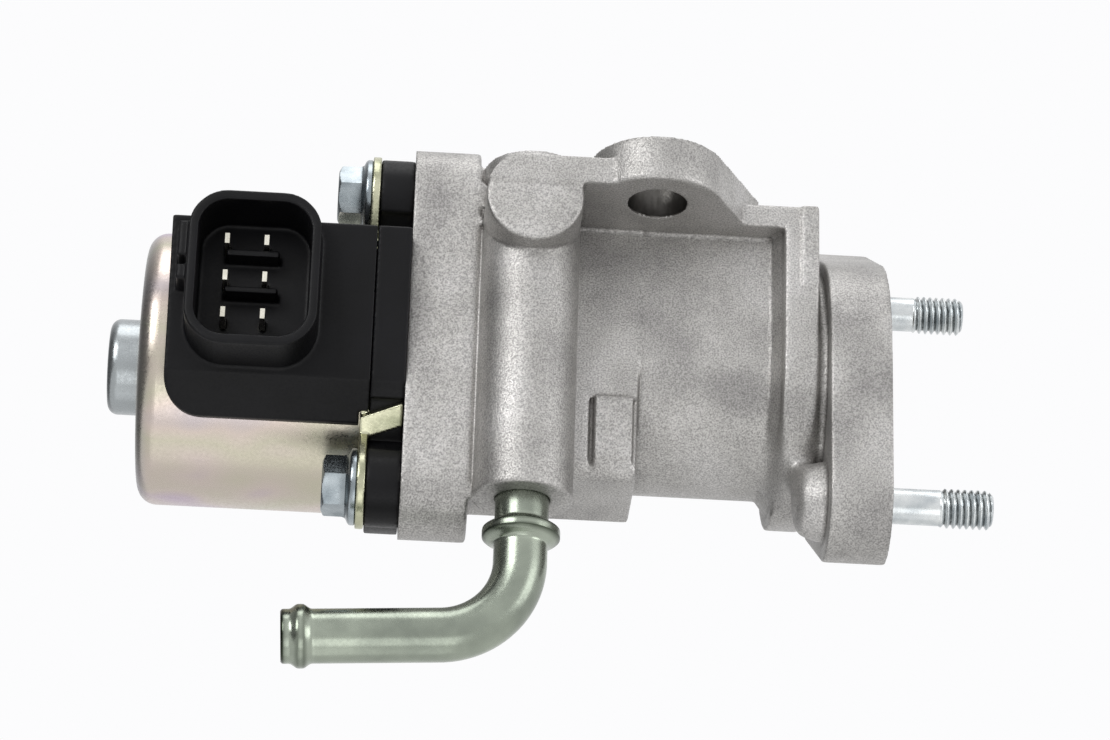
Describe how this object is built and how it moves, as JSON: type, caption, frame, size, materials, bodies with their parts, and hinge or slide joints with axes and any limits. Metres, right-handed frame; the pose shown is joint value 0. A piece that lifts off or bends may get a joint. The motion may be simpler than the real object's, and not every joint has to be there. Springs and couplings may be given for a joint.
{
  "type": "exhaust gas recirculation valve",
  "caption": "Stepper-driven exhaust gas recirculation valve: cast body with stud flange, coolant pipe, motor can and connector socket.",
  "frame": {"origin": "centre of the inlet flange's machined face, on the valve axis", "axes": "+X out of the inlet face along the studs, +Z out of the top mounting face, -Y towards the coolant pipe and connector side"},
  "size_m": [0.1348, 0.0699, 0.0878],
  "materials": {
    "cast_aluminium": "as-cast, fine sand texture, machined faces",
    "seat_steel": "turned",
    "valve_steel": "ground",
    "bronze": "sintered",
    "seal_rubber": "matt",
    "bright_steel": "bright",
    "spring_steel": "drawn wire",
    "zinc_bolts": "bright zinc plating",
    "pipe_zinc": "yellow-green zinc plating",
    "plate_zinc": "yellow zinc plating",
    "can_zinc": "iridescent zinc plating",
    "black_plastic": "moulded, satin",
    "pale_plastic": "moulded",
    "magnet": "sintered",
    "yoke_steel": "pressed sheet",
    "coil_copper": "enamelled copper winding",
    "tinned_pins": "tin plated"
  },
  "bodies": {
    "housing": {"valve_body": "cast_aluminium", "valve_seat": "seat_steel", "stem_guide": "bronze", "stem_seal": "seal_rubber", "seal_cup": "bright_steel", "inlet_studs": "zinc_bolts", "coolant_pipe": "pipe_zinc", "base_seal": "seal_rubber", "motor_base": "black_plastic", "mounting_plate": "plate_zinc", "motor_bolts": "zinc_bolts", "motor_can": "can_zinc", "rear_bush": "bronze", "wave_washer": "spring_steel", "bearing_balls": "bright_steel", "bearing_outer_ring": "bright_steel", "rear_outer_yoke": "yoke_steel", "rear_inner_yoke": "yoke_steel", "front_inner_yoke": "yoke_steel", "front_outer_yoke": "yoke_steel", "rear_bobbin": "pale_plastic", "front_bobbin": "pale_plastic", "rear_coil": "coil_copper", "front_coil": "coil_copper", "connector_housing": "black_plastic", "terminal_pins": "tinned_pins", "return_spring": "spring_steel"},
    "rotor": {"rotor_hub": "pale_plastic", "rotor_magnet": "magnet", "bearing_inner_ring": "bright_steel"},
    "screw": {"lead_screw": "valve_steel"},
    "valve": {"valve_head": "valve_steel", "valve_stem": "valve_steel", "spring_retainer": "bright_steel"}
  },
  "joints": [
    {"name": "rotor_spin", "type": "hinge", "parent": "housing", "child": "rotor", "pos_m": [-0.095, 0, 0], "axis": [1, 0, 0], "range_deg": [0, 810]},
    {"name": "screw_slide", "type": "slide", "parent": "housing", "child": "screw", "axis": [1, 0, 0], "range_m": [0, 0.0045]},
    {"name": "valve_lift", "type": "slide", "parent": "housing", "child": "valve", "axis": [1, 0, 0], "range_m": [0, 0.0045], "deforming": ["return_spring"]}
  ],
  "couplings": [
    {"joint": "screw_slide", "follows": "rotor_spin", "m_per_rad": 0.00031831},
    {"joint": "valve_lift", "follows": "rotor_spin", "m_per_rad": 0.00031831}
  ]
}
